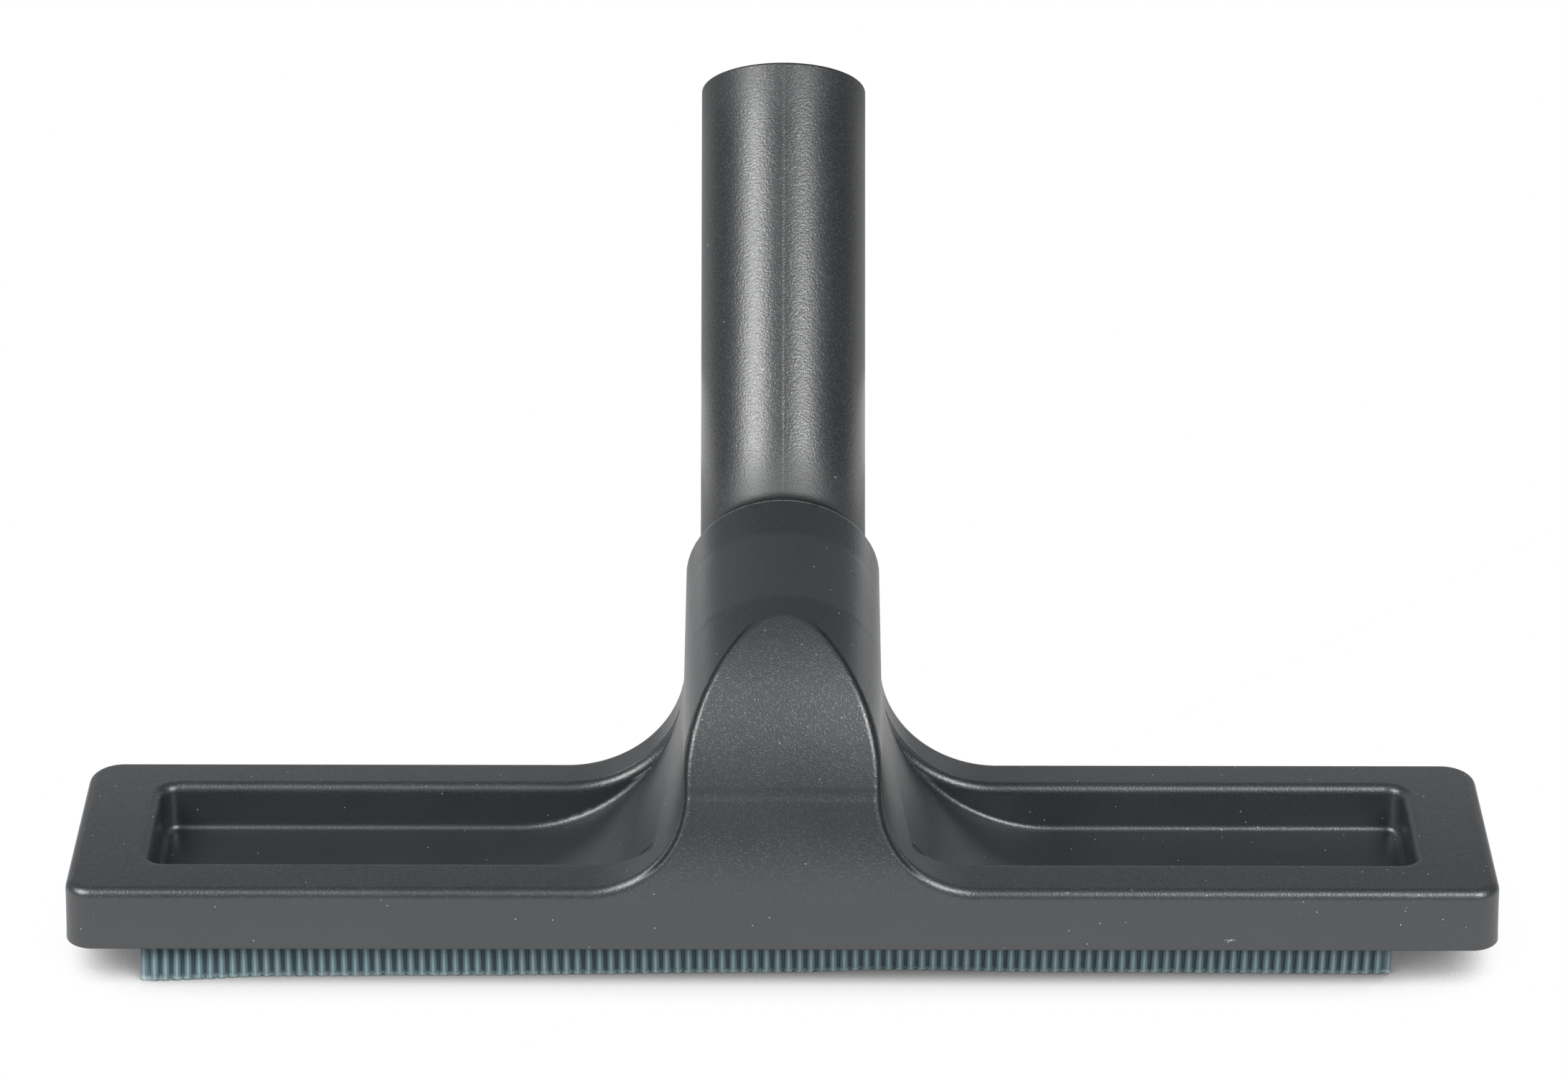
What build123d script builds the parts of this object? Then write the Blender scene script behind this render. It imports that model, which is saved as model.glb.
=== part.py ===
from build123d import *
import os
from math import cos, radians, sin, tan

os.makedirs("parts", exist_ok=True)

# Squeegee floor head: a T-shaped moulded housing, two ribbed lips and a swivelling elbow tube
# Frame: +X along the bar, +Y to the back, +Z up, origin on the floor under the middle of the bar

# Bar of the housing, in millimetres and degrees
BAR_LENGTH = 300.0
BAR_DEPTH = 57.7
SKIRT_GAP = 8.4
SKIRT_HEIGHT = 13.6
DRAFT = 2.0
WALL = 2.2
FRONT_CORNER_R = 6.0
BACK_CORNER_R = 7.5
TOP_EDGE_R = 2.0

# Trays in the top of the bar
TRAY_DEPTH = 10.6
FRONT_FLANGE = 12.85
BACK_FLANGE = 10.9
END_FLANGE = 16.4
TRAY_CORNER_R = 3.5
TRAY_FLOOR_R = 1.4
TRAY_RIM_R = 2.0
TRAY_FRONT_BOW_R = 50.0
TRAY_FRONT_ANGLE = 33.0

# Sweep from the bar up into the neck
FLARE_FRONT_R = 20.0
FLARE_BACK_R = 26.0
TRAY_SWEEP_R = 37.2
TRAY_PINCH = 18.0

# Apron, the curved front of the neck
APRON_R = 60.0
APRON_ANGLE = 68.0

# Collar and the swivel socket in it
COLLAR_TILT = 13.0
COLLAR_WALL = 2.85
RIM_Y = 43.65
RIM_Z = 60.0
RIM_EDGE_R = 0.8
SOCKET_DEPTH = 22.0
STOP_RING = 2.0
STOP_STEP = 1.4

# Elbow tube
INSERT_R = 17.9
SWIVEL_CLEARANCE = 0.1
INSERT_END_GAP = 0.5
BEAD_AT = 6.0
BEAD_R = 0.8
BEAD_GAP = 0.3
BEND_START = 1.0
BEND_R = 24.0
ELBOW = 35.0
TUBE_LENGTH = 98.5
TUBE_DRAFT = 0.17
WAND_BORE_R = 16.0
WAND_DEPTH = 42.0
DUCT_BORE_R = 15.2
MOUTH_EDGE_R = 0.6
INSERT_CHAMFER = 0.8

# Squeegee lips and the grooves that hold them
LIP_LENGTH = 262.0
LIP_SHIFT = -3.3
BLADE = 2.0
RIB_PITCH = 2.33
RIB_R = 0.95
RIB_STAND = 0.9
BARBS = 3
BARB_PITCH = 3.2
BARB_HEIGHT = 2.6
STEM = 2.6
LIP_SIDE_GAP = 0.15
GROOVE_PLAY = 10.0
GROOVE_RIB = 1.8
GROOVE_RIB_GAP = 0.4

# Derived positions
BAR_TOP = SKIRT_GAP + SKIRT_HEIGHT
DRAFT_SHIFT = SKIRT_HEIGHT * tan(radians(DRAFT))
TOP_HALF_LENGTH = BAR_LENGTH / 2 - DRAFT_SHIFT
TOP_HALF_DEPTH = BAR_DEPTH / 2 - DRAFT_SHIFT
INNER_HALF_DEPTH = TOP_HALF_DEPTH - WALL
SOCKET_R = INSERT_R + SWIVEL_CLEARANCE
COLLAR_R = SOCKET_R + COLLAR_WALL
TRAY_BACK = TOP_HALF_DEPTH - BACK_FLANGE
TRAY_FRONT = FRONT_FLANGE - TOP_HALF_DEPTH
TRAY_MIDDLE = (TRAY_FRONT + TRAY_BACK) / 2
TRAY_OUTER = TOP_HALF_LENGTH - END_FLANGE
TRAY_FLOOR = BAR_TOP - TRAY_DEPTH
SWEEP_X = COLLAR_R + TRAY_SWEEP_R
SWEEP_Z = TRAY_FLOOR + TRAY_SWEEP_R
TRAY_CEILING = BAR_TOP + TRAY_PINCH
GROOVE_ROOF = BAR_TOP - WALL
GROOVE_WIDTH = BACK_FLANGE - 2 * WALL - GROOVE_RIB - GROOVE_RIB_GAP
GROOVE_HALF = (LIP_LENGTH + GROOVE_PLAY) / 2
LIP_Y = INNER_HALF_DEPTH - GROOVE_WIDTH / 2
GROOVE_RIB_Y = INNER_HALF_DEPTH - GROOVE_WIDTH - GROOVE_RIB / 2
BELOW = -20.0
FAR = 160.0
CUT_PAST = 1.0
BEAD_STAND = BEAD_R + BEAD_GAP - SWIVEL_CLEARANCE
STOP_X = GROOVE_HALF + GROOVE_RIB / 2
ROOT_HALF = GROOVE_WIDTH / 2 - LIP_SIDE_GAP
RIB_COUNT = int(LIP_LENGTH / RIB_PITCH) - 1

# Collar and tube directions
COLLAR_DIR = Vector(0, cos(radians(COLLAR_TILT)), sin(radians(COLLAR_TILT)))
COLLAR_DOWN = Vector(0, COLLAR_DIR.Z, -COLLAR_DIR.Y)
RIM_PLANE = Plane(origin=(0, RIM_Y, RIM_Z), x_dir=COLLAR_DOWN, z_dir=COLLAR_DIR)
RIM_AXIS = Axis(RIM_PLANE.origin, COLLAR_DIR)
INSERT_PLANE = RIM_PLANE.offset(INSERT_END_GAP - SOCKET_DEPTH)
BEAD_CENTRE = RIM_PLANE.origin - COLLAR_DIR * BEAD_AT
BEND_PLANE = RIM_PLANE.offset(BEND_START)
BEND_AXIS = Axis(BEND_PLANE.origin - COLLAR_DOWN * BEND_R, (1, 0, 0))
TUBE_TILT = COLLAR_TILT + ELBOW
TUBE_DIR = Vector(0, cos(radians(TUBE_TILT)), sin(radians(TUBE_TILT)))
BEND_RUN = BEND_R * sin(radians(ELBOW))
BEND_RISE = BEND_R * (1 - cos(radians(ELBOW)))
TUBE_START = BEND_PLANE.origin + COLLAR_DIR * BEND_RUN - COLLAR_DOWN * BEND_RISE
TUBE_PLANE = Plane(origin=TUBE_START, x_dir=(1, 0, 0), z_dir=TUBE_DIR)
TUBE_AXIS = Axis(TUBE_START, TUBE_DIR)
MOUTH_PLANE = TUBE_PLANE.offset(TUBE_LENGTH)


def front_view(flare_r, inset, y_at):
    """Front outline of the shoulders and neck at y_at, moved inwards by inset."""
    flare_x = COLLAR_R + flare_r
    flare_z = BAR_TOP + flare_r
    with BuildSketch(Plane.XZ.offset(-y_at)) as view:
        with BuildLine():
            base = Line((0, BELOW), (flare_x, BELOW))
            Line(base @ 1, (flare_x, BAR_TOP - inset))
            sweep = CenterArc((flare_x, flare_z), flare_r + inset, 180, 90)
            side = Line(sweep @ 0, (COLLAR_R - inset, FAR))
            Line(side @ 1, (0, FAR))
            mirror(about=Plane.YZ)
        make_face()
    return view.sketch


def side_view(inset):
    """Side outline of the moulding: front wall, apron and back wall, moved inwards by inset."""
    lean = Vector(sin(radians(DRAFT)), cos(radians(DRAFT)))
    front_top = Vector(-TOP_HALF_DEPTH, BAR_TOP) + Vector(lean.Y, -lean.X) * inset
    back_top = Vector(TOP_HALF_DEPTH - inset / lean.Y, BAR_TOP)
    back_lean = Vector(-lean.X / lean.Y, 1)
    with BuildSketch(Plane.YZ) as view:
        with BuildLine():
            wall = Line(front_top - lean * FAR / 2, front_top)
            bow = JernArc(wall @ 1, lean, APRON_R - inset, -APRON_ANGLE)
            rise = Line(bow @ 1, ((bow @ 1).X, FAR))
            ceiling = Line(rise @ 1, back_top + back_lean * (FAR - BAR_TOP))
            back = Line(ceiling @ 1, back_top + back_lean * ((wall @ 0).Y - BAR_TOP))
            Line(back @ 1, wall @ 0)
        make_face()
    return view.sketch


def below_axis():
    """Side outline of everything below the collar's axis."""
    slope = tan(radians(COLLAR_TILT))
    with BuildSketch(Plane.YZ) as view:
        with BuildLine():
            Polyline(
                (-FAR, BELOW),
                (FAR, BELOW),
                (FAR, RIM_Z + (FAR - RIM_Y) * slope),
                (-FAR, RIM_Z - (FAR + RIM_Y) * slope),
                close=True,
            )
        make_face()
    return view.sketch


def tray_plan(grow):
    """Plan outline of the right-hand tray, grown by grow."""
    turn = COLLAR_R + FLARE_BACK_R
    with BuildSketch(Plane.XY.offset(TRAY_FLOOR - grow)) as plan:
        with BuildLine():
            back = Line((0, TRAY_BACK), (TRAY_OUTER, TRAY_BACK))
            end = Line(back @ 1, (TRAY_OUTER, TRAY_FRONT))
            front = Line(end @ 1, (turn, TRAY_FRONT))
            bow = JernArc(front @ 1, (-1, 0), TRAY_FRONT_BOW_R, TRAY_FRONT_ANGLE)
            inner = Line(bow @ 1, (0, (bow @ 1).Y))
            Line(inner @ 1, back @ 0)
        make_face()
        outer_corners = plan.vertices().group_by(Axis.X)[-1]
        fillet(outer_corners, TRAY_CORNER_R)
        if grow > 0:
            offset(amount=grow, kind=Kind.INTERSECTION)
    return plan.sketch


def tray_side(grow):
    """Front outline of the space above the tray's floor, grown downwards by grow."""
    with BuildSketch(Plane.XZ) as view:
        with BuildLine():
            floor = Line((BAR_LENGTH, TRAY_FLOOR - grow), (SWEEP_X, TRAY_FLOOR - grow))
            sweep = CenterArc((SWEEP_X, SWEEP_Z), TRAY_SWEEP_R + grow, 180, 90)
            Line(sweep @ 0, ((sweep @ 0).X, FAR))
            Line(((sweep @ 0).X, FAR), (BAR_LENGTH, FAR))
            Line((BAR_LENGTH, FAR), floor @ 0)
        make_face()
    return view.sketch


# Shoulders and neck, cut off flush with the back wall
with BuildPart() as neck:
    loft([front_view(FLARE_FRONT_R, 0, -BAR_DEPTH / 2), front_view(FLARE_BACK_R, 0, BAR_DEPTH / 2)], ruled=True)
    extrude(below_axis(), amount=FAR, both=True, mode=Mode.INTERSECT)
    split(bisect_by=Plane.XY.offset(SKIRT_GAP), keep=Keep.TOP)
    with BuildSketch(RIM_PLANE):
        Circle(COLLAR_R)
    extrude(amount=-FAR / 2)
    extrude(side_view(0), amount=FAR, both=True, mode=Mode.INTERSECT)

# Rim of the right-hand tray: the line where its walls come out of the bar's top and the shoulder
with BuildPart() as slotted:
    add(neck.part)
    with BuildSketch(Plane.XY.offset(SKIRT_GAP)):
        Rectangle(BAR_LENGTH, BAR_DEPTH)
    extrude(amount=SKIRT_HEIGHT)
    extrude(tray_plan(0), amount=TRAY_CEILING - TRAY_FLOOR, mode=Mode.SUBTRACT)
    slot_edges = slotted.edges(Select.NEW)
    rim_edges = slot_edges - slot_edges.group_by(Axis.Z)[-1]

# Rounded mouth of the tray, swept along the rim and faded out where the floor comes up to it
with BuildPart() as tray_mouth:
    with BuildSketch(Plane.XZ.offset(-TRAY_MIDDLE)):
        with BuildLine():
            low = Line((TRAY_OUTER - CUT_PAST, BAR_TOP - TRAY_RIM_R), (TRAY_OUTER, BAR_TOP - TRAY_RIM_R))
            bow = RadiusArc(low @ 1, (TRAY_OUTER + TRAY_RIM_R, BAR_TOP), TRAY_RIM_R)
            up = Line(bow @ 1, (TRAY_OUTER + TRAY_RIM_R, BAR_TOP + CUT_PAST))
            over = Line(up @ 1, (TRAY_OUTER - CUT_PAST, BAR_TOP + CUT_PAST))
            Line(over @ 1, low @ 0)
        make_face()
    sweep(path=Wire(rim_edges))
    extrude(tray_side(0), amount=FAR, both=True, mode=Mode.INTERSECT)

# Tray on the right, as the space to be taken out of the bar
with BuildPart() as tray:
    extrude(tray_plan(0), amount=TRAY_CEILING - TRAY_FLOOR)
    extrude(tray_side(0), amount=FAR, both=True, mode=Mode.INTERSECT)
    fillet(tray.edges().filter_by(Axis.Y).group_by(Axis.Z)[0].sort_by(Axis.X)[-1], TRAY_FLOOR_R)
    add(tray_mouth.part)

# The tray with its walls, kept out of the housing's hollow
with BuildPart() as tray_shell:
    extrude(tray_plan(WALL), amount=TRAY_CEILING - TRAY_FLOOR + WALL)
    extrude(tray_side(WALL), amount=FAR, both=True, mode=Mode.INTERSECT)

# Duct inside the neck, up to the stop ring of the socket
with BuildPart() as neck_hollow:
    loft([front_view(FLARE_FRONT_R, WALL, -BAR_DEPTH / 2), front_view(FLARE_BACK_R, WALL, BAR_DEPTH / 2)], ruled=True)
    extrude(below_axis(), amount=FAR, both=True, mode=Mode.INTERSECT)
    with BuildSketch(RIM_PLANE.offset(-SOCKET_DEPTH - STOP_RING)):
        Circle(COLLAR_R - WALL)
    extrude(amount=-FAR / 2)
    extrude(side_view(WALL), amount=FAR, both=True, mode=Mode.INTERSECT)

# Everything hollow, open to the floor, with the trays left standing in it
with BuildPart() as hollow:
    with BuildSketch(Plane.XY.offset(BELOW)) as hollow_plan:
        Rectangle(2 * (TOP_HALF_LENGTH - WALL), 2 * INNER_HALF_DEPTH)
        fillet(hollow_plan.vertices(), FRONT_CORNER_R - WALL)
    extrude(amount=GROOVE_ROOF - BELOW)
    add(neck_hollow.part)
    add(tray_shell.part, mode=Mode.SUBTRACT)
    add(mirror(tray_shell.part, about=Plane.YZ, mode=Mode.PRIVATE), mode=Mode.SUBTRACT)

# Housing: bar, neck and collar in one moulding
with BuildPart() as nozzle_housing:
    with BuildSketch(Plane.XY.offset(SKIRT_GAP)) as bar_plan:
        Rectangle(BAR_LENGTH, BAR_DEPTH)
        fillet(bar_plan.vertices().group_by(Axis.Y)[0], FRONT_CORNER_R)
        fillet(bar_plan.vertices().group_by(Axis.Y)[-1], BACK_CORNER_R)
    extrude(amount=SKIRT_HEIGHT, taper=DRAFT)
    add(neck.part)
    front_top_edges = nozzle_housing.edges().filter_by(Axis.X).group_by(Axis.Y)[1]
    fillet(front_top_edges.sort_by(Axis.X)[0], TOP_EDGE_R)
    with BuildSketch(RIM_PLANE):
        Circle(COLLAR_R)
    extrude(amount=-SOCKET_DEPTH)
    fillet(nozzle_housing.edges().filter_by(GeomType.CIRCLE).sort_by(RIM_AXIS)[-1], RIM_EDGE_R)
    add(tray.part, mode=Mode.SUBTRACT)
    add(mirror(tray.part, about=Plane.YZ, mode=Mode.PRIVATE), mode=Mode.SUBTRACT)
    add(hollow.part, mode=Mode.SUBTRACT)
    # Swivel socket with its stop ring and the groove for the tube's bead
    with BuildSketch(RIM_PLANE):
        Circle(SOCKET_R)
    extrude(amount=-SOCKET_DEPTH, mode=Mode.SUBTRACT)
    with BuildSketch(RIM_PLANE):
        Circle(SOCKET_R - STOP_STEP)
    extrude(amount=-SOCKET_DEPTH - STOP_RING - CUT_PAST, mode=Mode.SUBTRACT)
    with BuildSketch(RIM_PLANE.offset(-BEAD_AT)):
        Circle(SOCKET_R + BEAD_STAND)
    extrude(amount=BEAD_R + BEAD_GAP, both=True, mode=Mode.SUBTRACT)
    # Grooves for the lips: an inner rib, a roof across the neck and a stop at each end
    for side in (-1, 1):
        with BuildSketch(Plane.XY.offset(SKIRT_GAP)):
            with Locations((0, side * GROOVE_RIB_Y)):
                Rectangle(2 * (GROOVE_HALF + GROOVE_RIB), GROOVE_RIB)
            with Locations((-STOP_X, side * LIP_Y), (STOP_X, side * LIP_Y)):
                Rectangle(GROOVE_RIB, GROOVE_WIDTH + GROOVE_RIB)
        extrude(amount=SKIRT_HEIGHT - WALL / 2)
        with BuildSketch(Plane.XY.offset(GROOVE_ROOF)):
            with Locations((0, side * (LIP_Y - GROOVE_RIB / 2))):
                Rectangle(2 * (COLLAR_R + FLARE_BACK_R), GROOVE_WIDTH + GROOVE_RIB)
        extrude(amount=WALL / 2)

nozzle_housing.part.label = "nozzle_housing"
export_step(nozzle_housing.part, "parts/nozzle_housing.step")

# Elbow tube: snap-in insert, bend and wand socket
with BuildPart() as elbow_tube:
    for bore, mode in ((INSERT_R, Mode.ADD), (DUCT_BORE_R, Mode.SUBTRACT)):
        with BuildSketch(INSERT_PLANE):
            Circle(bore)
        extrude(amount=SOCKET_DEPTH - INSERT_END_GAP + BEND_START, mode=mode)
        with BuildSketch(BEND_PLANE):
            Circle(bore)
        revolve(axis=BEND_AXIS, revolution_arc=ELBOW, mode=mode)
        with BuildSketch(TUBE_PLANE):
            Circle(bore)
        extrude(amount=TUBE_LENGTH, taper=-TUBE_DRAFT, mode=mode)
    with BuildSketch(MOUTH_PLANE):
        Circle(WAND_BORE_R)
    extrude(amount=-WAND_DEPTH, mode=Mode.SUBTRACT)
    fillet(elbow_tube.edges().filter_by(GeomType.CIRCLE).group_by(TUBE_AXIS)[-1], MOUTH_EDGE_R)
    chamfer(elbow_tube.edges().filter_by(GeomType.CIRCLE).sort_by(RIM_AXIS)[1], INSERT_CHAMFER)
    with BuildSketch(Plane(origin=BEAD_CENTRE, x_dir=(1, 0, 0), z_dir=(0, -COLLAR_DIR.Z, COLLAR_DIR.Y))) as bead:
        with Locations((INSERT_R, 0)):
            Circle(BEAD_R)
    revolve(axis=RIM_AXIS)

elbow_tube.part.label = "elbow_tube"
export_step(elbow_tube.part, "parts/elbow_tube.step")

# Squeegee lip: barbed root and ribbed blade, ribs to the front
with BuildPart() as front_lip:
    with BuildSketch() as blade_plan:
        with Locations((LIP_SHIFT, -LIP_Y)):
            Rectangle(LIP_LENGTH, BLADE)
        with Locations((LIP_SHIFT, -LIP_Y - BLADE / 2 - RIB_STAND + RIB_R)):
            with GridLocations(RIB_PITCH, 1, RIB_COUNT, 1):
                Circle(RIB_R)
    extrude(amount=SKIRT_GAP)
    with BuildSketch(Plane.YZ.offset(LIP_SHIFT)) as root_profile:
        with Locations((-LIP_Y, (SKIRT_GAP + GROOVE_ROOF) / 2)):
            Rectangle(BLADE, GROOVE_ROOF - SKIRT_GAP)
        for step in range(BARBS):
            barb_top = GROOVE_ROOF - step * BARB_PITCH
            with BuildLine():
                Polyline(
                    (-LIP_Y - STEM / 2, barb_top),
                    (-LIP_Y + STEM / 2, barb_top),
                    (-LIP_Y + ROOT_HALF, barb_top - BARB_HEIGHT),
                    (-LIP_Y - ROOT_HALF, barb_top - BARB_HEIGHT),
                    close=True,
                )
            make_face()
    extrude(amount=LIP_LENGTH / 2, both=True)

front_lip.part.label = "front_lip"
export_step(front_lip.part, "parts/front_lip.step")

# The same lip turned round at the back, ribs to the back
with BuildPart() as rear_lip:
    add(front_lip.part.rotate(Axis.Z, 180))

rear_lip.part.label = "rear_lip"
export_step(rear_lip.part, "parts/rear_lip.step")
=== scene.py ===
from math import cos, pi, radians, sin, tan

import bmesh
import bpy
from mathutils import Matrix, Vector


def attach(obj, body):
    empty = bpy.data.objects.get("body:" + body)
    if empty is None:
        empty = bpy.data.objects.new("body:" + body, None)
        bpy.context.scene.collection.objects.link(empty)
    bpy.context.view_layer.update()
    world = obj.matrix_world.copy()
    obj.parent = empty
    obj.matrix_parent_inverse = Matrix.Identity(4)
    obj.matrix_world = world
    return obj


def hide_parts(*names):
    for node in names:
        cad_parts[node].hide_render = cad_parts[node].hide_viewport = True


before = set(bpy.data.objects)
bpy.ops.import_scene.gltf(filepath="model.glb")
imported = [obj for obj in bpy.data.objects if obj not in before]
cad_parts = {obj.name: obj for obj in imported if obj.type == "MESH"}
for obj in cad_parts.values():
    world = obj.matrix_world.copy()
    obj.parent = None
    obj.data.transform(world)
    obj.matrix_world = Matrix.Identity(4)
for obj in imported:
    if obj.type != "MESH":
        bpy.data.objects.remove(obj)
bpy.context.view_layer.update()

MM = 0.001
MERGE = 0.001 * MM
SHARP_ANGLE = radians(35)


def leaning(angle):
    """Direction in the part's middle plane, that angle above straight back."""
    return Vector((0, cos(angle), sin(angle)))


def grey(level, cool=0.0):
    """A grey of that level, a little bluer where cool is above 0."""
    return (level * (1 - cool), level, level * (1 + cool), 1)


# Sizes taken from the part's source, in metres and radians
SKIRT_BOTTOM = 8.4 * MM
BAR_TOP = 22 * MM
BAR_DEPTH = 57.7 * MM
DRAFT = radians(2)
APRON_R = 60 * MM
COLLAR_TILT = radians(13)
RIM_CENTRE = Vector((0, 43.65, 60)) * MM
BEND_START = 1 * MM
BEND_R = 24 * MM
ELBOW = radians(35)
TUBE_LENGTH = 98.5 * MM
TUBE_START_R = 17.9 * MM
TUBE_DRAFT = radians(0.17)
LIP_Y = 24.025 * MM
LIP_SHIFT = -3.3 * MM
BLADE = 2 * MM
RIB_PITCH = 2.33 * MM

# Places worked out from these sizes
FRONT_TOP_Y = (BAR_TOP - SKIRT_BOTTOM) * tan(DRAFT) - BAR_DEPTH / 2
APRON_CENTRE = Vector((0, FRONT_TOP_Y + APRON_R * cos(DRAFT), BAR_TOP - APRON_R * sin(DRAFT)))
COLLAR_DIR = leaning(COLLAR_TILT)
COLLAR_UP = leaning(COLLAR_TILT + pi / 2)
TUBE_DIR = leaning(COLLAR_TILT + ELBOW)
TUBE_FRONT = leaning(COLLAR_TILT + ELBOW + pi / 2)
BEND_RUN = COLLAR_DIR * (BEND_START + BEND_R * sin(ELBOW))
BEND_RISE = COLLAR_UP * BEND_R * (1 - cos(ELBOW))
TUBE_START = RIM_CENTRE + BEND_RUN + BEND_RISE

# Marks in the mouldings: groove and crease of the apron, two steps round the collar, and a scuff
GROOVE_REACH = 38 * MM
CREASE_Z = 42.5 * MM
COLLAR_STEPS = (-11.5 * MM, -32.5 * MM)
STEP_EASE = 1.2 * MM
SCUFF_X = 93.4 * MM
SCUFF_Z = 10.6 * MM
# Strength of the painted shade in the apron's groove and on the tube just above the collar
PAINTED_SHADE_STRENGTH = 0.75

# Edges of specks, from outside to inside, in widths of the cells that they lie in
DUST_EDGE = (0.06, 0.03)
FLAKE_EDGE = (0.45, 0.30)

# Section of the tube's parting lines, across and outwards from the tube's wall, in millimetres
RIDGE_SECTION = ((-0.28, -0.2), (-0.2, 0), (0, 0.05), (0.2, 0), (0.28, -0.2))
RIDGE_END_GAP = 0.7 * MM

# How far the worn front lip's lower edge is pushed back, at places along the bar, in millimetres
LIP_LEAN = ((-134, -2.4), (-104, -0.4), (-75, 0.0), (0, 1.5), (22, 2.6), (60, 1.8), (128, 1.2))
LEAN_CURVE = 1.5
RIB_CHAMFER = 0.8 * MM
RIB_RUB = 0.6

# Cuts that let a lip bend, up from the floor and along the bar, in millimetres
LIP_LEVELS = (0.8, 2.0, 3.5, 5.0, 6.7)
LIP_PLACES = range(-130, 131, 10)

# Colours of the plastics
CHARCOAL = grey(0.020, 0.16)
CHARCOAL_PALE = grey(0.028, 0.10)
# Painted light: a paler tone on the collar band between its two steps, standing in for that band's
# lighter shading
COLLAR_SLEEVE_PAINTED_LIGHT = grey(0.033, 0.10)
# Painted highlight: a pale line standing in for the light caught by the rounded edge of the collar's rim
RIM_PAINTED_HIGHLIGHT = grey(0.22, 0.03)
TUBE_BLACK = grey(0.015, 0.12)
TUBE_BLACK_PALE = grey(0.021, 0.06)
FLAKE = grey(0.19)
DUST = grey(0.5)
# Painted shade: a dark diffuse mixed into the plastics in the apron's groove and on the tube just above
# the collar
PAINTED_GAP_SHADE = grey(0.006)

# Colours of the rubber
RUBBER = (0.058, 0.104, 0.120, 1)
RUBBER_PALE = (0.082, 0.135, 0.152, 1)
# Painted shade in the furrows between the ribs
RUBBER_FURROW_SHADE = (0.024, 0.050, 0.062, 1)
# Painted highlight on the rib crests
RUBBER_CREST_HIGHLIGHT = (0.19, 0.28, 0.30, 1)
RUBBER_WORN = (0.36, 0.45, 0.45, 1)
# Painted shade on the lip high up, under the housing's skirt
RUBBER_SKIRT_SHADE = (0.024, 0.046, 0.056, 1)

# Colours of the studio
WHITE = grey(1.0)
SHADOW = grey(0.10)
# Painted pool of light: the floor's matt colour, lighter close to the object and darker far off
FLOOR_LIT_POOL = grey(0.85)
FLOOR_OUTSIDE_POOL = grey(0.25)
ROOM = grey(0.105, 0.06)

# Floor of the studio, in metres
FLOOR_HALF = 6
FLOOR_DROP = 0.1 * MM
SHADOW_REACH = 26 * MM

# Camera of the photograph, for a frame of 2184 by 1500
CAMERA_PLACE = (0, -1.0253, 0.58986)
CAMERA_PITCH = radians(64)
CAMERA_ROLL = radians(0.09)
CAMERA_LENS = 126.6
CAMERA_SENSOR = 36
CAMERA_SHIFT_X = 0.0007
CAMERA_NEAR = 0.05


class Value:
    """One output of a node; arithmetic on it adds Math nodes to the same recipe."""

    def __init__(self, recipe, socket):
        self.recipe = recipe
        self.socket = socket

    def math(self, operation, first, second):
        return self.recipe.node("ShaderNodeMath", {"operation": operation}, {0: first, 1: second})

    def __add__(self, other):
        return self.math("ADD", self, other)

    def __radd__(self, other):
        return self.math("ADD", other, self)

    def __sub__(self, other):
        return self.math("SUBTRACT", self, other)

    def __rsub__(self, other):
        return self.math("SUBTRACT", other, self)

    def __mul__(self, other):
        return self.math("MULTIPLY", self, other)

    def __rmul__(self, other):
        return self.math("MULTIPLY", other, self)

    def __gt__(self, other):
        return self.math("GREATER_THAN", self, other)

    def __lt__(self, other):
        return self.math("LESS_THAN", self, other)

    def __abs__(self):
        return self.math("ABSOLUTE", self, 0)

    def zigzag(self, span):
        """Goes up and down between 0 and span."""
        return self.math("PINGPONG", self, span)


class Recipe:
    """A node tree that is filled node by node."""

    def __init__(self, tree):
        self.tree = tree
        tree.nodes.clear()

    def node(self, kind, settings=None, sockets=None, output=0):
        made = self.tree.nodes.new(kind)
        for key, value in (settings or {}).items():
            setattr(made, key, value)
        for key, value in (sockets or {}).items():
            if isinstance(value, Value):
                self.tree.links.new(value.socket, made.inputs[key])
            else:
                made.inputs[key].default_value = value
        return Value(self, made.outputs[output] if made.outputs else None)


def new_finish(name):
    finish = bpy.data.materials.new(name)
    finish.use_nodes = True
    return finish, Recipe(finish.node_tree)


def object_point(recipe):
    return recipe.node("ShaderNodeTexCoord", output="Object")


def axis(recipe, point, name):
    """One coordinate of the point: X, Y or Z."""
    return recipe.node("ShaderNodeSeparateXYZ", {}, {0: point}, name)


def vector_math(recipe, operation, first, second, output="Value"):
    return recipe.node("ShaderNodeVectorMath", {"operation": operation}, {0: first, 1: second}, output)


def along(recipe, point, direction, origin):
    """Distance of the point from origin, measured along direction."""
    return vector_math(recipe, "DOT_PRODUCT", point, direction) - direction.dot(origin)


def noise(recipe, point, size, detail=2.0):
    """Soft noise from 0 to 1 with features about size metres across."""
    return recipe.node("ShaderNodeTexNoise", {}, {"Vector": point, "Scale": 1 / size, "Detail": detail})


def cells(recipe, point, size, output):
    """Random cells about size metres across."""
    return recipe.node("ShaderNodeTexVoronoi", {}, {"Vector": point, "Scale": 1 / size}, output)


def smooth(recipe, value, low, high):
    """0 at low, 1 at high, eased between; low may be the larger."""
    return recipe.node(
        "ShaderNodeMapRange",
        {"interpolation_type": "SMOOTHSTEP"},
        {"Value": value, "From Min": low, "From Max": high},
    )


def specks(recipe, point, size, share, edge):
    """Mask of small round specks, one in that share of the cells."""
    inside = smooth(recipe, cells(recipe, point, size, "Distance"), *edge)
    chance = recipe.node("ShaderNodeSeparateColor", {}, {0: cells(recipe, point, size, "Color")})
    return inside * (chance > 1 - share)


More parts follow.
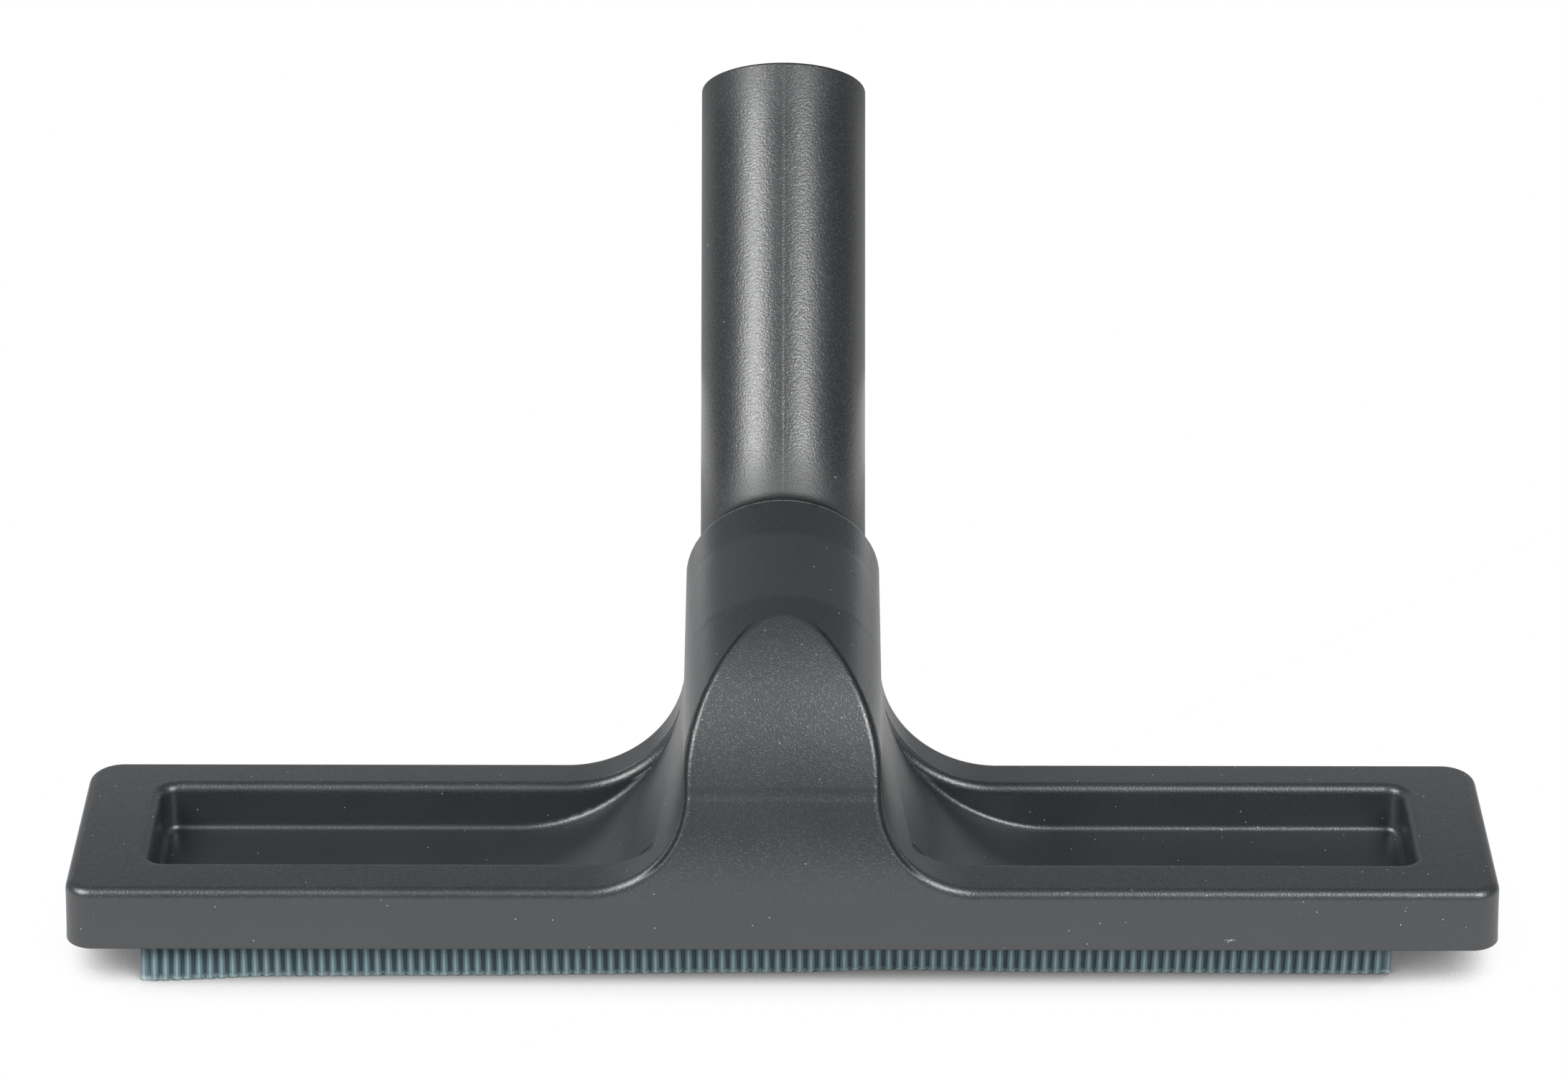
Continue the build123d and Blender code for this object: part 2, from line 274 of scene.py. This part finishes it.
def blend(recipe, mask, first, second):
    return recipe.node("ShaderNodeMix", {"data_type": "RGBA"}, {0: mask, 6: first, 7: second}, 2)


def relief(recipe, height, distance, strength=1.0, normal=None):
    sockets = {"Height": height, "Strength": strength, "Distance": distance}
    if normal is not None:
        sockets["Normal"] = normal
    return recipe.node("ShaderNodeBump", {}, sockets)


def ray_is(recipe, kind):
    """1 for rays of that kind, and 0 for others."""
    return recipe.node("ShaderNodeLightPath", output=f"Is {kind} Ray")


def surface(recipe, shader):
    recipe.node("ShaderNodeOutputMaterial", {}, {"Surface": shader})


def plastic(recipe, colour, flake, roughness, normal, painted_shade):
    """Plastic with bright flakes; a dark diffuse is mixed in as painted shade where the last argument,
    the painted-shade mask, is above 0.
    """
    colour = blend(recipe, flake, colour, FLAKE)
    look = {"Base Color": colour, "Metallic": flake, "Roughness": roughness, "Normal": normal}
    look.update({"IOR": 1.6, "Specular IOR Level": 0.75})
    shader = recipe.node("ShaderNodeBsdfPrincipled", {}, look)
    dark = recipe.node("ShaderNodeBsdfDiffuse", {}, {"Color": PAINTED_GAP_SHADE})
    surface(recipe, recipe.node("ShaderNodeMixShader", {}, {0: painted_shade, 1: shader, 2: dark}))


def apron_depth(recipe, point):
    """How far the point lies behind the apron's curved face."""
    flat = vector_math(recipe, "MULTIPLY", point, (0, 1, 1), "Vector")
    return APRON_R - vector_math(recipe, "DISTANCE", flat, APRON_CENTRE)


def apron_groove(recipe, point):
    """Mask of the fine groove that runs round the apron, just outside its edge; it bumps and roughens the
    groove and darkens it with painted shade.
    """
    aside = abs(axis(recipe, point, "X"))
    depth = apron_depth(recipe, point)
    line = smooth(recipe, depth, 0.0, 0.30 * MM) * smooth(recipe, depth, 0.95 * MM, 0.50 * MM)
    beside = smooth(recipe, aside, 4 * MM, 9 * MM) * (aside < GROOVE_REACH)
    above_bar = smooth(recipe, axis(recipe, point, "Z"), BAR_TOP + 2 * MM, BAR_TOP + 6 * MM)
    return line * beside * above_bar


def apron_crease(recipe, point):
    """Mask of the shallow crease that runs across the apron."""
    line = smooth(recipe, abs(axis(recipe, point, "Z") - CREASE_Z), 1.6 * MM, 0.2 * MM)
    return line * smooth(recipe, apron_depth(recipe, point), 0.4 * MM, 0.1 * MM)


def collar_sleeve(recipe, point, reach):
    """Mask of the band between the two steps round the collar, behind the apron and above the bar; the
    steps are bumped, and the band's paler colour is painted light.
    """
    upper, lower = COLLAR_STEPS
    under_upper = smooth(recipe, reach, upper + STEP_EASE, upper - STEP_EASE)
    over_lower = smooth(recipe, reach, lower - STEP_EASE, lower + STEP_EASE)
    behind_apron = smooth(recipe, apron_depth(recipe, point), 0.1 * MM, 0.5 * MM)
    above_bar = smooth(recipe, axis(recipe, point, "Z"), BAR_TOP + 8 * MM, BAR_TOP + 14 * MM)
    return under_upper * over_lower * behind_apron * above_bar


def scuff(recipe, point):
    """Mask of one small pale scrape low on the front wall."""
    across = smooth(recipe, abs(axis(recipe, point, "X") - SCUFF_X), 1.4 * MM, 0.3 * MM)
    height = smooth(recipe, abs(axis(recipe, point, "Z") - SCUFF_Z), 0.5 * MM, 0.1 * MM)
    broken = smooth(recipe, noise(recipe, point, 0.5 * MM), 0.45, 0.6)
    return across * height * broken * (axis(recipe, point, "Y") < FRONT_TOP_Y)


def rising_sparkle(recipe, point):
    """How much the housing's flakes show: not low on the bar, and more towards the neck."""
    z = axis(recipe, point, "Z")
    on_bar = smooth(recipe, z, BAR_TOP - 5 * MM, BAR_TOP)
    on_neck = smooth(recipe, z, BAR_TOP, BAR_TOP + 14 * MM)
    return 0.25 * on_bar + 0.75 * on_neck


def charcoal_moulding():
    """Charcoal plastic with a fine spark grain, for the housing."""
    finish, recipe = new_finish("charcoal_moulding")
    point = object_point(recipe)
    reach = along(recipe, point, COLLAR_DIR, RIM_CENTRE)
    mottle = noise(recipe, point, 22 * MM)
    grain = noise(recipe, point, 0.42 * MM, 1.0)
    groove = apron_groove(recipe, point)
    sleeve = collar_sleeve(recipe, point, reach)
    # Painted highlight along the rounded edge of the collar's rim
    rim_highlight = smooth(recipe, reach, -0.9 * MM, -0.5 * MM)
    marks = specks(recipe, point, 2.6 * MM, 0.6, DUST_EDGE) + scuff(recipe, point)
    colour = blend(recipe, mottle, CHARCOAL, CHARCOAL_PALE)
    # Painted light: the collar band between the steps is made paler
    colour = blend(recipe, sleeve, colour, COLLAR_SLEEVE_PAINTED_LIGHT)
    colour = blend(recipe, rim_highlight, colour, RIM_PAINTED_HIGHLIGHT)
    colour = blend(recipe, marks, colour, DUST)
    flake = specks(recipe, point, 0.38 * MM, 0.4, FLAKE_EDGE) * rising_sparkle(recipe, point)
    roughness = 0.33 + 0.08 * mottle + 0.3 * groove
    lines = 0.12 * groove + 0.08 * apron_crease(recipe, point) - 0.08 * sleeve
    normal = recipe.node("ShaderNodeBevel", {"samples": 4}, {"Radius": 0.6 * MM})
    normal = relief(recipe, 1 - lines, 1.0 * MM, normal=normal)
    normal = relief(recipe, grain, 0.05 * MM, normal=normal)
    # The apron's groove is darkened with painted shade
    plastic(recipe, colour, flake, roughness, normal, groove * PAINTED_SHADE_STRENGTH)
    return finish


def sparkling_moulding():
    """Grey-black plastic with a coarser sparkle, for the tube."""
    finish, recipe = new_finish("sparkling_moulding")
    point = object_point(recipe)
    mottle = noise(recipe, point, 16 * MM)
    grain = noise(recipe, point, 0.46 * MM, 1.0)
    reach = along(recipe, point, COLLAR_DIR, RIM_CENTRE)
    foot = smooth(recipe, reach, 16 * MM, 0.5 * MM)
    # Painted shade on the tube just above the collar, where the collar's edge shades it
    painted_shade = smooth(recipe, reach, 5.2 * MM, 3.2 * MM)
    tip = smooth(recipe, along(recipe, point, TUBE_DIR, TUBE_START), 82 * MM, TUBE_LENGTH)
    colour = blend(recipe, mottle, TUBE_BLACK, TUBE_BLACK_PALE)
    colour = blend(recipe, specks(recipe, point, 4 * MM, 0.25, DUST_EDGE), colour, DUST)
    flake = specks(recipe, point, 0.37 * MM, 0.5, FLAKE_EDGE) * (0.72 - 0.72 * foot)
    roughness = 0.34 + 0.06 * mottle + 0.22 * foot + 0.10 * tip
    normal = relief(recipe, grain, 0.06 * MM)
    plastic(recipe, colour, flake, roughness, normal, painted_shade * PAINTED_SHADE_STRENGTH)
    return finish


def lip_rubber(name, middle):
    """Dull blue-grey rubber with a worn lower edge, painted highlights on the rib crests, painted shade
    in the furrows between ribs and painted shade high up under the skirt; middle is the middle rib's x.
    """
    finish, recipe = new_finish(name)
    point = object_point(recipe)
    z = axis(recipe, point, "Z")
    mottle = noise(recipe, point, 6 * MM, 3.0)
    bloom = noise(recipe, point, 0.8 * MM)
    off_crest = ((axis(recipe, point, "X") - middle) * (1 / RIB_PITCH)).zigzag(0.5)
    # Painted shade in the furrows between the ribs
    furrow_shade = 0.75 * smooth(recipe, off_crest, 0.22, 0.42)
    # Painted highlight on the rib crests
    crest_highlight = 0.7 * smooth(recipe, off_crest, 0.16, 0.02)
    worn = 0.6 * smooth(recipe, z, 1.4 * MM, 0.3 * MM) * smooth(recipe, bloom, 0.25, 0.65)
    # Painted shade, darker towards the top where the skirt overhangs
    skirt_shade = 0.6 * smooth(recipe, z, 5 * MM, SKIRT_BOTTOM)
    colour = blend(recipe, mottle, RUBBER, RUBBER_PALE)
    colour = blend(recipe, furrow_shade, colour, RUBBER_FURROW_SHADE)
    colour = blend(recipe, crest_highlight, colour, RUBBER_CREST_HIGHLIGHT)
    colour = blend(recipe, worn, colour, RUBBER_WORN)
    colour = blend(recipe, skirt_shade, colour, RUBBER_SKIRT_SHADE)
    roughness = 0.52 + 0.16 * bloom
    normal = relief(recipe, bloom, 0.05 * MM, strength=0.3)
    look = {"Base Color": colour, "Roughness": roughness, "Normal": normal, "IOR": 1.6}
    surface(recipe, recipe.node("ShaderNodeBsdfPrincipled", {}, look))
    return finish


def pale_floor():
    """White floor with a painted soft shadow close to the object, and a painted pool of light round the
    object in what reflections and bounce light see.
    """
    finish, recipe = new_finish("pale_floor")
    y = axis(recipe, object_point(recipe), "Y")
    # Painted pool of light: bright round the object, fading out in front and partly behind; it sets the
    # matt colour and what reflections see
    lit_pool = smooth(recipe, y, -0.20, -0.07) * (1 - 0.6 * smooth(recipe, y, 0.08, 0.22))
    mirrored = ray_is(recipe, "Glossy") + ray_is(recipe, "Transmission")
    seen = ray_is(recipe, "Camera") + mirrored * lit_pool
    shade = recipe.node("ShaderNodeAmbientOcclusion", {"samples": 12}, {"Distance": SHADOW_REACH}, "AO")
    tone = blend(recipe, smooth(recipe, shade, 0.16, 0.66), SHADOW, WHITE)
    glow = recipe.node("ShaderNodeEmission", {}, {"Color": tone, "Strength": 1.0})
    matt = recipe.node("ShaderNodeBsdfDiffuse", {}, {"Color": blend(recipe, lit_pool, FLOOR_OUTSIDE_POOL, FLOOR_LIT_POOL)})
    surface(recipe, recipe.node("ShaderNodeMixShader", {}, {0: seen, 1: matt, 2: glow}))
    return finish


def mesh_piece(name, shape, finish):
    """A finished mesh as an object at the origin, smooth but for its sharp edges."""
    mesh = bpy.data.meshes.new(name)
    bmesh.ops.recalc_face_normals(shape, faces=shape.faces)
    for face in shape.faces:
        face.smooth = True
    shape.to_mesh(mesh)
    shape.free()
    mesh.set_sharp_from_angle(angle=SHARP_ANGLE)
    mesh.materials.append(finish)
    piece = bpy.data.objects.new(name, mesh)
    bpy.context.scene.collection.objects.link(piece)
    return piece


def dress(node, finish):
    """Gives a CAD node its finish."""
    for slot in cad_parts[node].material_slots:
        slot.material = finish


def parting_line(name, finish, facing):
    """Fine ridge along one side of the tube, its foot sunk into the wall."""
    foot = TUBE_START + facing * TUBE_START_R
    run = (TUBE_DIR + facing * tan(TUBE_DRAFT)) * (TUBE_LENGTH - RIDGE_END_GAP)
    shape = bmesh.new()
    section = [
        shape.verts.new(foot + Vector((across * MM, 0, 0)) + facing * height * MM)
        for across, height in RIDGE_SECTION
    ]
    start = shape.faces.new(section)
    drawn = bmesh.ops.extrude_face_region(shape, geom=[start])["geom"]
    end = [part for part in drawn if isinstance(part, bmesh.types.BMVert)]
    bmesh.ops.translate(shape, verts=end, vec=run)
    piece = mesh_piece(name, shape, finish)
    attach(piece, "tube")


def lean_at(x):
    """How far the lip's lower edge is pushed back at x, eased between the listed places."""
    places = [(place * MM, push * MM) for place, push in LIP_LEAN]
    for (x0, push0), (x1, push1) in zip(places, places[1:]):
        if x <= x1:
            share = max(0, (x - x0) / (x1 - x0))
            return push0 + (push1 - push0) * (1 - cos(pi * share)) / 2
    return places[-1][1]


def cut_to_bend(shape):
    """Cuts a lip's faces at the listed levels and places, so that it bends smoothly."""
    cuts = [((0, 0, level * MM), (0, 0, 1)) for level in LIP_LEVELS]
    cuts += [((place * MM, 0, 0), (1, 0, 0)) for place in LIP_PLACES]
    for place, normal in cuts:
        geometry = shape.verts[:] + shape.edges[:] + shape.faces[:]
        bmesh.ops.bisect_plane(shape, geom=geometry, dist=MERGE, plane_co=place, plane_no=normal)


def worn_lip(name, node, finish, facing, share):
    """The lip as worn: leaning over along its length, with its rib ends rubbed to a slope."""
    shape = bmesh.new()
    shape.from_mesh(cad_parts[node].data)
    bmesh.ops.remove_doubles(shape, verts=shape.verts, dist=MERGE)
    cut_to_bend(shape)
    for vert in shape.verts:
        stand = max(0, facing * vert.co.y - LIP_Y - BLADE / 2)
        rubbed = max(0, 1 - vert.co.z / RIB_CHAMFER)
        free = max(0, 1 - vert.co.z / SKIRT_BOTTOM)
        vert.co.y -= facing * RIB_RUB * stand * rubbed
        vert.co.y += share * lean_at(vert.co.x) * free ** LEAN_CURVE
    piece = mesh_piece(name, shape, finish)
    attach(piece, "head")
    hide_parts(node)


def floor():
    shape = bmesh.new()
    bmesh.ops.create_grid(shape, x_segments=1, y_segments=1, size=FLOOR_HALF)
    bmesh.ops.translate(shape, verts=shape.verts, vec=(0, 0, -FLOOR_DROP))
    mesh_piece("floor", shape, pale_floor())


def softbox(name, aim, azimuth, elevation, distance, size, watts):
    """A soft lamp; azimuth 0 is over the camera, and 90 is to the right."""
    turn = radians(azimuth)
    rise = radians(elevation)
    towards = Vector((sin(turn) * cos(rise), -cos(turn) * cos(rise), sin(rise)))
    data = bpy.data.lights.new(name, "AREA")
    data.shape = "RECTANGLE"
    data.size, data.size_y = size
    data.energy = watts
    lamp = bpy.data.objects.new(name, data)
    lamp.location = Vector(aim) + towards * distance
    lamp.rotation_euler = towards.to_track_quat("Z", "Y").to_euler()
    bpy.context.scene.collection.objects.link(lamp)


def lamps():
    """Two large lamps in front, two faint ones behind and a narrow one along the bar's back edge."""
    middle = (0, 0.04, 0.05)
    back_edge = (0, 0.023, 0.022)
    front = {"aim": middle, "elevation": 40, "distance": 1.2}
    behind = {"aim": middle, "elevation": 20, "distance": 0.6, "size": (0.4, 0.4)}
    close = {"aim": back_edge, "elevation": 22, "distance": 0.105}
    softbox("left_softbox", **front, azimuth=-55, size=(0.6, 0.6), watts=14.6)
    softbox("right_softbox", **front, azimuth=38, size=(0.42, 0.6), watts=12.3)
    softbox("back_left_glow", **behind, azimuth=-140, watts=0.06)
    softbox("back_right_glow", **behind, azimuth=140, watts=0.045)
    softbox("back_strip", **close, azimuth=180, size=(0.8, 0.03), watts=0.052)


def room():
    """Dim room light that the camera sees as a white horizon."""
    world = bpy.data.worlds.new("studio")
    world.use_nodes = True
    recipe = Recipe(world.node_tree)
    light = blend(recipe, ray_is(recipe, "Camera"), ROOM, WHITE)
    background = recipe.node("ShaderNodeBackground", {}, {"Color": light, "Strength": 1.0})
    recipe.node("ShaderNodeOutputWorld", {}, {"Surface": background})
    bpy.context.scene.world = world


def camera():
    data = bpy.data.cameras.new("photo_camera")
    data.lens = CAMERA_LENS
    data.sensor_width = CAMERA_SENSOR
    data.shift_x = CAMERA_SHIFT_X
    data.clip_start = CAMERA_NEAR
    view = bpy.data.objects.new("photo_camera", data)
    view.location = CAMERA_PLACE
    pitched = Matrix.Rotation(CAMERA_PITCH, 3, "X")
    view.rotation_euler = (pitched @ Matrix.Rotation(CAMERA_ROLL, 3, "Z")).to_euler()
    bpy.context.scene.collection.objects.link(view)
    bpy.context.scene.camera = view


# Put together
housing_finish = charcoal_moulding()
tube_finish = sparkling_moulding()
front_rubber = lip_rubber("front_lip_rubber", LIP_SHIFT)
rear_rubber = lip_rubber("rear_lip_rubber", -LIP_SHIFT)
dress("nozzle_housing", housing_finish)
dress("elbow_tube", tube_finish)
dress("front_lip", front_rubber)
dress("rear_lip", rear_rubber)
worn_lip("worn_front_lip", "front_lip", front_rubber, facing=-1, share=1.0)
worn_lip("worn_rear_lip", "rear_lip", rear_rubber, facing=1, share=0.5)
parting_line("tube_front_parting_line", tube_finish, TUBE_FRONT)
parting_line("tube_back_parting_line", tube_finish, -TUBE_FRONT)
floor()
lamps()
room()
camera()
bpy.context.scene.view_settings.view_transform = "Standard"
